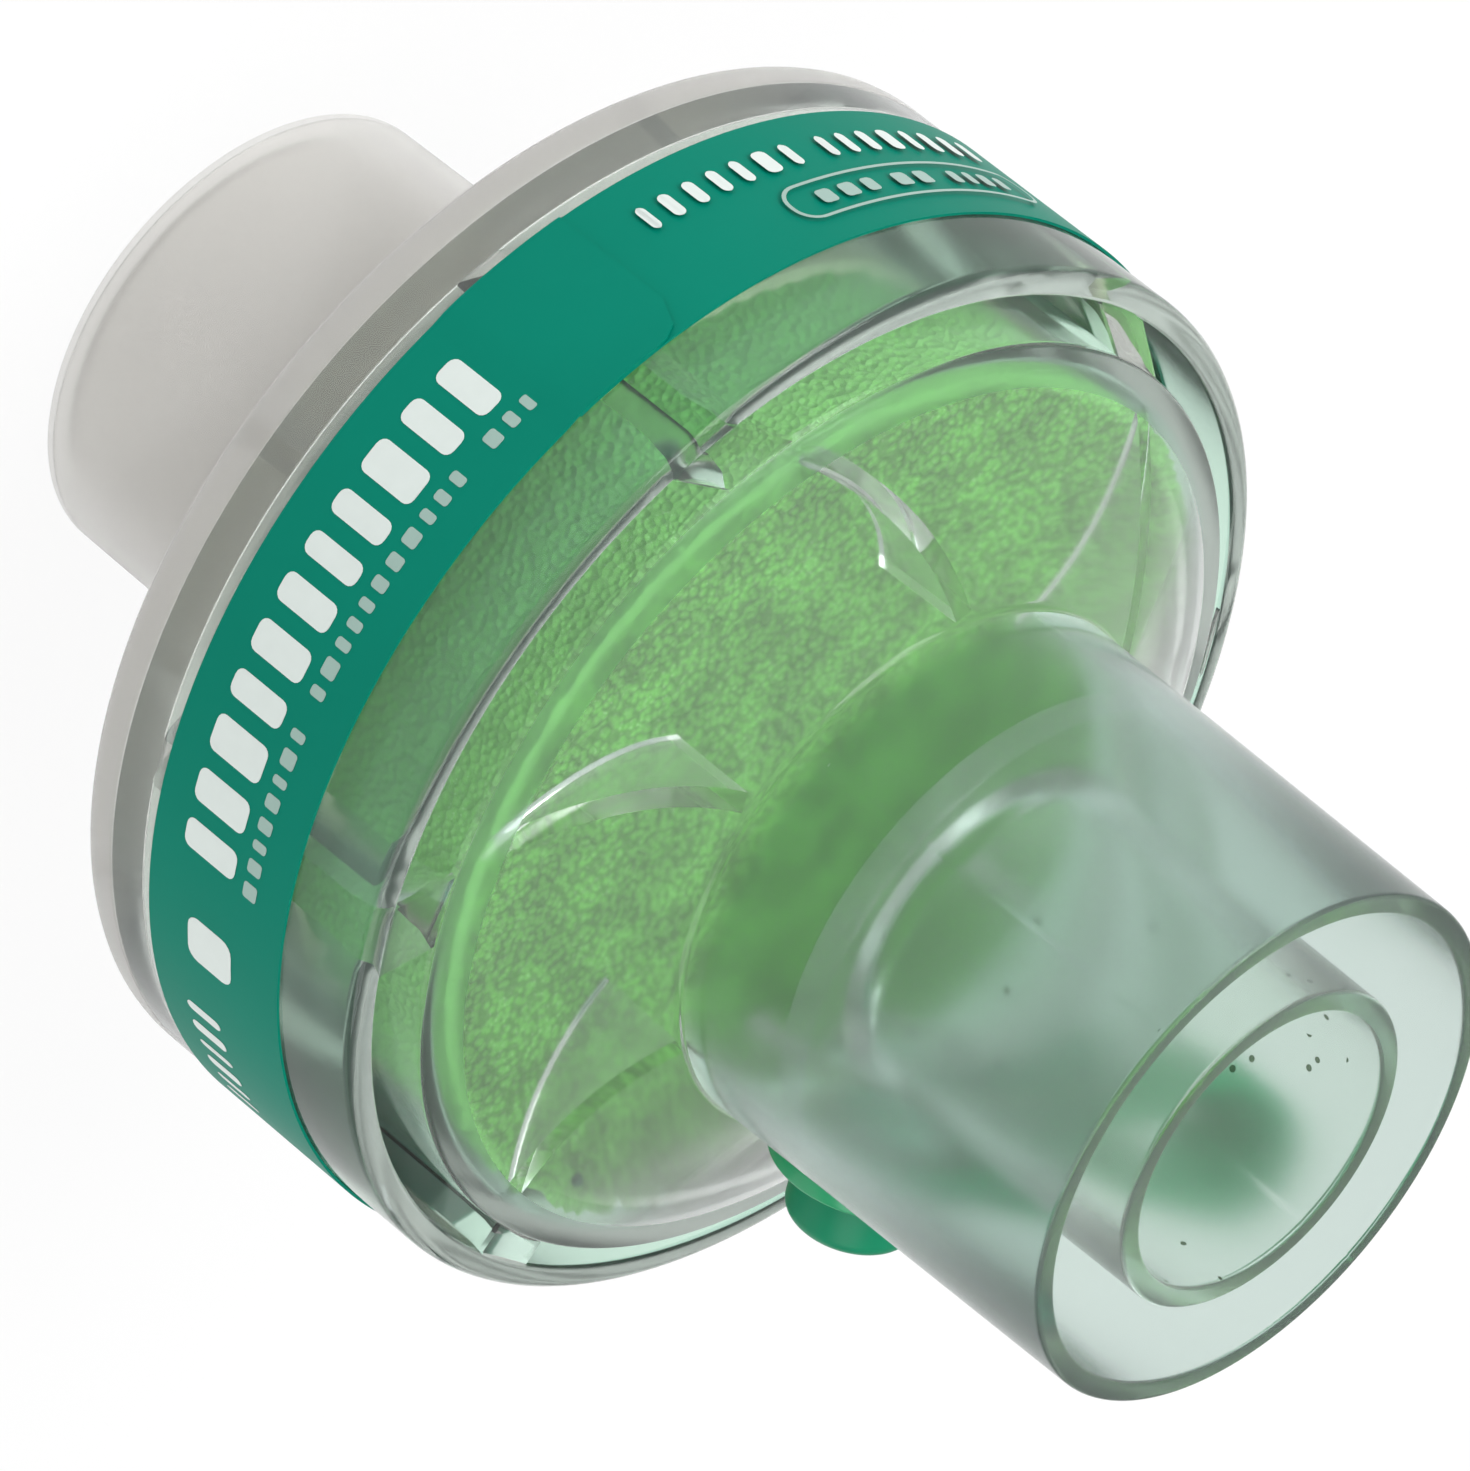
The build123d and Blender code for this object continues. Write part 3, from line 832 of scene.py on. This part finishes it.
def label_material(settings):
    """Satin film with a faint grain of print."""
    shader = material_shader("label_film")
    cloud = shader.speckle(90, 3)
    base = Vector(settings.colour)
    colour = shader.mix(cloud, rgb(base * 0.92), rgb(base * 1.08))
    grain = shader.bump(shader.speckle(1500, 2), 0.00001, 0.4)
    return shader.surface(Base_Color=colour, Roughness=0.38 + 0.08 * cloud, Normal=grain,
                          Specular_IOR_Level=0.05)


def print_material(settings, name="label_print", share=1.0):
    """Pale print, with a fine screen."""
    shader = material_shader(name)
    cloud = shader.speckle(1200, 2)
    base = Vector(settings.print_colour) * share + Vector(settings.colour) * (1 - share)
    colour = shader.mix(cloud, rgb(base * 0.96), rgb(base * 1.03))
    return shader.surface(Base_Color=colour, Roughness=0.35 + 0.05 * cloud)


def wrap(radius, arc, depth):
    """Point on the label: arc is along it from +X, depth is down from its upper edge, all in millimetres."""
    return polar(radius, math.degrees(arc / radius), LABEL_HIGH.z - LABEL_DROP - depth)


def print_band(bm, radius, pairs):
    """A thin printed band through pairs of (arc, depth) points, one pair for each step along it."""
    outer = radius + PRINT_THICKNESS
    loft(bm, [[wrap(radius, *first), wrap(outer, *first), wrap(outer, *second), wrap(radius, *second)]
              for first, second in pairs])


def print_bar(bm, radius, start, end, top, bottom, corner=0.3):
    """A printed bar with round corners, from one angle to another and between two depths."""
    first, last = (math.radians(angle) * radius for angle in (start, end))
    steps = max(8, int((last - first) / PRINT_STEP))
    arcs = [first + corner * share for share in (0, 0.08, 0.3, 0.6)]
    arcs += [first + corner + (last - first - 2 * corner) * step / steps for step in range(steps + 1)]
    arcs += [last - corner * share for share in (0.6, 0.3, 0.08, 0)]
    pairs = []
    for arc in arcs:
        reach = min(arc - first, last - arc, corner)
        cut = corner - math.sqrt(max(corner**2 - (corner - reach) ** 2, 0.0))
        cut = min(cut, 0.49 * (bottom - top))
        pairs.append(((arc, top + cut), (arc, bottom - cut)))
    print_band(bm, radius, pairs)


def print_row(bm, radius, start, end, count, top, bottom, gap, seed, corner=0.3):
    """A row of plain blocks of uneven widths."""
    widths = [0.75 + 0.5 * abs(noise.noise(Vector((seed, index * 1.7, 0.3)))) for index in range(count)]
    scale = (end - start) / sum(widths)
    for index, width in enumerate(widths):
        first = start + scale * sum(widths[:index])
        cut = math.degrees(gap / radius) / 2
        print_bar(bm, radius, first + cut, first + scale * width - cut, top, bottom, corner)


def print_frame(bm, radius, start, end, top, bottom, corner=1.0, width=0.16):
    """A printed outline of a rounded box."""
    first, last = (math.radians(angle) * radius for angle in (start, end))
    spots = []
    left, right = first + corner, last - corner
    upper, lower = top + corner, bottom - corner
    for turn, (arc, depth) in enumerate(((right, upper), (right, lower), (left, lower), (left, upper))):
        for step in range(9):
            angle = math.radians(90 * turn - 90 + 90 * step / 8)
            spots.append((Vector((arc, depth)), Vector((math.cos(angle), math.sin(angle)))))
    pairs = []
    for (middle, normal), (after, after_normal) in zip(spots, spots[1:] + spots[:1]):
        count = max(1, int((after - middle).length / PRINT_STEP))
        for step in range(count):
            share = step / count
            spot = middle.lerp(after, share)
            side = normal.lerp(after_normal, share).normalized()
            pairs.append((spot + side * (corner - width / 2), spot + side * (corner + width / 2)))
    print_band(bm, radius, pairs + pairs[:1])


class FILTER_OT_label(bpy.types.Operator):
    """Make the wrap label with its lapped end"""
    bl_idname = "filter.label"
    bl_label = "Label"

    def execute(self, context):
        settings = context.scene.filter_label
        inner_r = SKIRT_R + LABEL_GAP
        steps = 260
        bm = bmesh.new()
        sections = []
        start = LABEL_END + LABEL_LAP
        for step in range(steps + 1):
            turned = (360 + LABEL_LAP) * step / steps
            angle = start - turned
            left = (360 + LABEL_LAP) - turned
            climb = min(max((turned - 360 + CLIMB_ANGLE) / CLIMB_ANGLE, 0.0), 1.0)
            radius = inner_r + climb * (LABEL_THICKNESS + 0.01)
            arc = math.radians(left) * radius
            cut = 0.0
            if arc < LABEL_CORNER:
                cut = LABEL_CORNER - math.sqrt(LABEL_CORNER**2 - (LABEL_CORNER - arc) ** 2)
            low, high = LABEL_LOW.z - LABEL_DROP, LABEL_HIGH.z - LABEL_DROP - cut
            outer = radius + LABEL_THICKNESS
            sections.append([polar(radius, angle, low), polar(outer, angle, low),
                             polar(outer, angle, high), polar(radius, angle, high)])
        loft(bm, sections)
        label = make_object(bm, "wrap_label")
        smooth(label, 30)
        dress(label, label_material(settings), "label_film", "label")
        # Plain blocks and a frame, printed on the label
        radius = inner_r + LABEL_THICKNESS + PRINT_LIFT
        lap_radius = radius + LABEL_THICKNESS + 0.01
        bm = bmesh.new()
        print_row(bm, radius, -150.5, -82.5, 13, 3.2, 6.3, gap=0.9, corner=0.4, seed=1.3)
        print_row(bm, lap_radius, -207.0, -182.5, 8, 4.8, 6.3, gap=0.75, seed=4.1)
        print_row(bm, lap_radius, -180.5, -160.0, 7, 4.8, 6.3, gap=0.75, seed=2.9)
        print_bar(bm, radius, -76.0, -70.5, 2.9, 5.6, corner=0.6)
        print_row(bm, radius, -64.0, -46.0, 6, 4.1, 6.2, gap=0.8, seed=5.3)
        bold = make_object(bm, "label_bold_bars")
        dress(bold, print_material(settings), "label_film")
        bm = bmesh.new()
        for start, end, count in ((-150.5, -133.5, 7), (-131.0, -105.0, 11), (-102.5, -82.5, 8)):
            print_row(bm, radius, start, end, count, 1.8, 2.6, gap=0.5, corner=0.15, seed=start)
        print_frame(bm, lap_radius, -207.0, -173.0, 1.5, 3.7)
        for start, end, count in ((-204.0, -194.0, 4), (-192.0, -186.0, 2), (-184.5, -176.0, 3)):
            print_row(bm, lap_radius, start, end, count, 2.15, 3.05, gap=0.5, corner=0.2, seed=start)
        fine = make_object(bm, "label_fine_bars")
        dress(fine, print_material(settings, "label_fine_print", 0.45), "label_film")
        return {"FINISHED"}


# Luer cap and strap

def cap_material(settings):
    """Soft green moulded plastic."""
    shader = material_shader("cap_plastic")
    cloud = shader.speckle(300, 3)
    base = Vector(settings.colour)
    colour = shader.mix(cloud, rgb(base * 0.93), rgb(base * 1.06))
    grain = shader.bump(shader.speckle(900, 2), 0.00002, 0.5)
    return shader.surface(Base_Color=colour, Roughness=0.36 + 0.08 * cloud, Normal=grain,
                          Specular_IOR_Level=0.25, Subsurface_Weight=0.15, Subsurface_Scale=0.001)


# How far the cap's head stands past its solid's radius, in millimetres
CAP_SWELL = 0.25


class FILTER_OT_luer_cap(bpy.types.Operator):
    """Make the cap of the sampling port"""
    bl_idname = "filter.luer_cap"
    bl_label = "Luer cap"

    def execute(self, context):
        foot_x = LUER_REACH + 0.1
        end_x = CAP_HIGH.x
        head_r = CAP_HIGH.y + CAP_SWELL
        outline = [
            (0, CAP_LOW.x, 0),
            (LUER_BORE_R - 0.2, CAP_LOW.x, 0.3),
            (LUER_BORE_R - 0.05, foot_x, 0),
            (head_r, foot_x, 0.25),
            (head_r, end_x, 0.7),
            (0, end_x, 0),
        ]
        bm = bmesh.new()
        lathe(bm, rounded(outline, 8), 96, along_x())
        cap = make_object(bm, "sampling_cap")
        smooth(cap)
        material = cap_material(context.scene.filter_cap)
        dress(cap, material, "cap_plastic", "luer_cap", body=CAP_BODY)
        return {"FINISHED"}


# Strap sizes, in millimetres and degrees
STRAP_THICKNESS = 0.9
STRAP_WIDTH = 4.6
STRAP_LEG = 17.0
STRAP_SPREAD = 0.12
STRAP_TILT = 6.0
STRAP_INNER_X = 12.98
STRAP_OUTER_X = 15.8
RING_MIDDLE_R = 3.61
RING_WIDTH = 1.3
RING_OPEN = 36.0
STRAP_BLEND = 2.9


def strap_section(spot, side, across, thickness, width, soft=0.2):
    """Section of the strap: a rounded bar, thick along side and wide along across."""
    corners = ((-1, -1), (1, -1), (1, 1), (-1, 1))
    outline = [(x * thickness / 2, y * width / 2, soft) for x, y in corners]
    return [spot + side * point.x + across * point.y for point in rounded(outline, 3)]


class FILTER_OT_cap_strap(bpy.types.Operator):
    """Make the strap that keeps the cap"""
    bl_idname = "filter.cap_strap"
    bl_label = "Cap strap"

    def execute(self, context):
        tilt = math.radians(STRAP_TILT)
        run = Vector((0, math.cos(tilt), math.sin(tilt)))
        across = Vector((0, -math.sin(tilt), math.cos(tilt)))
        outer_end = STRAP_OUTER_X + STRAP_SPREAD * STRAP_LEG
        inner_end = STRAP_INNER_X - STRAP_SPREAD * (STRAP_LEG - RING_MIDDLE_R)
        middle = (outer_end + inner_end) / 2
        lean = math.atan(STRAP_SPREAD)
        bend = (outer_end - inner_end) / 2 / math.cos(lean)
        reaches = [STRAP_LEG * share for share in (0.13, 0.4, 0.7)]
        path = [(STRAP_OUTER_X + STRAP_SPREAD * reach, reach) for reach in reaches]
        centre_y = STRAP_LEG + bend * math.sin(lean)
        for step in range(25):
            angle = -lean + (math.pi + 2 * lean) * step / 24
            path.append((middle + bend * math.cos(angle), centre_y + bend * math.sin(angle)))
        for share in (0.7, 0.4, 0.0):
            reach = RING_MIDDLE_R + (STRAP_LEG - RING_MIDDLE_R) * share
            path.append((STRAP_INNER_X - STRAP_SPREAD * (reach - RING_MIDDLE_R), reach))
        spots = [Vector((x, 0, LUER_Z)) + run * y for x, y in path]
        sections = []
        for index, spot in enumerate(spots):
            along = spots[min(index + 1, len(spots) - 1)] - spots[max(index - 1, 0)]
            side = across.cross(along).normalized()
            sections.append(strap_section(spot, side, across, STRAP_THICKNESS, STRAP_WIDTH))
        bm = bmesh.new()
        loft(bm, sections)
        strap = make_object(bm, "cap_strap_loop")
        bm = bmesh.new()
        sections = []
        for step in range(41):
            angle = math.radians(-RING_OPEN + (180 + 2 * RING_OPEN) * step / 40)
            out = Vector((0, math.cos(angle), math.sin(angle)))
            spot = Vector((STRAP_INNER_X, 0, LUER_Z)) + out * RING_MIDDLE_R
            sections.append(strap_section(spot, Vector((1, 0, 0)), out, STRAP_THICKNESS, RING_WIDTH, 0.15))
        loft(bm, sections)
        combine(strap, make_object(bm, "ring"), "UNION")
        smooth(strap)
        dress(strap, bpy.data.materials["cap_plastic"], "cap_plastic", "cap_strap", body=None)
        spots[-1] * MM
        (spots[-1] + Vector((STRAP_BLEND, 0, 0))) * MM
        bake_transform(strap)
        return {"FINISHED"}


# Stage

CAMERA_LENS = 306.83
CAMERA_SENSOR = 36.0


def camera_matrix():
    """The photograph's view of the frame, from the camera's fit to the rims of the object."""
    right = Vector((-0.2403, 0.7104, 0.6628))
    down = Vector((0.8183, -0.2196, 0.5320))
    forward = Vector((0.5240, 0.6702, -0.5270))
    near_port = Vector((20.6108, 16.5512, 500.8520))
    spot = Vector((0, 0, 63.44)) - right * near_port.x - down * near_port.y - forward * near_port.z
    turn = Matrix((right, -down, -forward)).transposed().to_4x4()
    return Matrix.Translation(spot * MM) @ turn


def floor_material(settings):
    """Pale floor that the camera sees as white behind the object, with its shadow kept."""
    shader = material_shader("floor")
    path = "ShaderNodeLightPath"
    glossy = shader.node(path, output="Is Glossy Ray")
    behind = glossy.maximum(shader.node(path, output="Is Transmission Ray"))
    seen = shader.node(path, output="Is Camera Ray").maximum(behind * 0.6)
    cloud = shader.speckle(8, 2)
    base = Vector(settings.floor_colour)
    colour = shader.mix(cloud, rgb(base), rgb(base * 1.01))
    plain = shader.node("ShaderNodeBsdfDiffuse", None, {"Color": colour})
    white = shader.node("ShaderNodeEmission", None, {"Color": (1, 1, 1, 1), "Strength": 1.0})
    shader.end(shader.node("ShaderNodeMixShader", None, {0: seen * 0.9, 1: plain, 2: white}))
    return shader.owner


def studio_world(settings):
    """Soft light from all round, brightest from above and behind the left shoulder of the camera's view."""
    shader = Shader(bpy.data.worlds.new("studio"))
    way = shader.node("ShaderNodeTexCoord", output="Generated")
    inputs = {0: way, 1: settings.bright_side}
    bright = shader.node("ShaderNodeVectorMath", {"operation": "DOT_PRODUCT"}, inputs, output="Value")
    lit = (0.5 + 0.5 * bright).clamped()
    level = settings.world_level * (settings.dark_share + (1 - settings.dark_share) * lit)
    light = shader.node("ShaderNodeBackground", None, {"Color": (1, 1, 1, 1), "Strength": level})
    shader.node("ShaderNodeOutputWorld", None, {"Surface": light})
    return shader.owner


class FILTER_OT_stage(bpy.types.Operator):
    """Make the floor, the lamps and the camera"""
    bl_idname = "filter.stage"
    bl_label = "Stage"

    def execute(self, context):
        settings = context.scene.filter_stage
        bm = bmesh.new()
        bmesh.ops.create_grid(bm, x_segments=8, y_segments=8, size=3.0)
        floor = make_object(bm, "floor")
        floor.data.materials.append(floor_material(settings))
        context.scene.world = studio_world(settings)
        middle = Vector((0, 0, 0.035))
        # Place and size in metres, power in watts
        lamps = {
            "key_lamp": ((-0.55, 0.10, 0.62), 0.5, 5.0),
            "fill_lamp": ((0.35, -0.45, 0.45), 0.5, 2.0),
        }
        for name, (spot, size, power) in lamps.items():
            data = bpy.data.lights.new(name, "AREA")
            data.size = size
            data.energy = power * settings.lamp_level
            lamp = bpy.data.objects.new(name, data)
            lamp.location = spot
            lamp.rotation_mode = "QUATERNION"
            lamp.rotation_quaternion = (middle - lamp.location).to_track_quat("-Z", "Y")
            context.scene.collection.objects.link(lamp)
        camera = bpy.data.objects.new("camera", bpy.data.cameras.new("camera"))
        camera.data.lens = CAMERA_LENS
        camera.data.sensor_width = CAMERA_SENSOR
        camera.data.clip_end = 10
        camera.matrix_world = camera_matrix()
        context.scene.collection.objects.link(camera)
        context.scene.camera = camera
        context.scene.view_settings.view_transform = "Standard"
        return {"FINISHED"}


OPERATORS = (
    FILTER_OT_stage,
    FILTER_OT_rear_housing,
    FILTER_OT_front_housing,
    FILTER_OT_foam,
    FILTER_OT_felt,
    FILTER_OT_label,
    FILTER_OT_luer_cap,
    FILTER_OT_cap_strap,
)

SETTINGS = {
    "filter_housing": HousingSettings,
    "filter_media": MediaSettings,
    "filter_label": LabelSettings,
    "filter_cap": CapSettings,
    "filter_stage": StageSettings,
}


class FILTER_PT_panel(bpy.types.Panel):
    """Pieces of the filter"""
    bl_idname = "FILTER_PT_panel"
    bl_label = "Breathing filter"
    bl_space_type = "VIEW_3D"
    bl_region_type = "UI"
    bl_category = "Filter"

    def draw(self, context):
        for operator in OPERATORS:
            self.layout.operator(operator.bl_idname)
        for name, group in SETTINGS.items():
            box = self.layout.box()
            for prop in group.__annotations__:
                box.prop(getattr(context.scene, name), prop)


def register():
    for group in SETTINGS.values():
        bpy.utils.register_class(group)
    for name, group in SETTINGS.items():
        setattr(bpy.types.Scene, name, PointerProperty(type=group))
    for operator in OPERATORS:
        bpy.utils.register_class(operator)
    bpy.utils.register_class(FILTER_PT_panel)


def unregister():
    bpy.utils.unregister_class(FILTER_PT_panel)
    for operator in reversed(OPERATORS):
        bpy.utils.unregister_class(operator)
    for name, group in SETTINGS.items():
        delattr(bpy.types.Scene, name)
        bpy.utils.unregister_class(group)


def main():
    register()
    for operator in OPERATORS:
        group, name = operator.bl_idname.split(".")
        getattr(getattr(bpy.ops, group), name)()


if __name__ == "__main__":
    main()
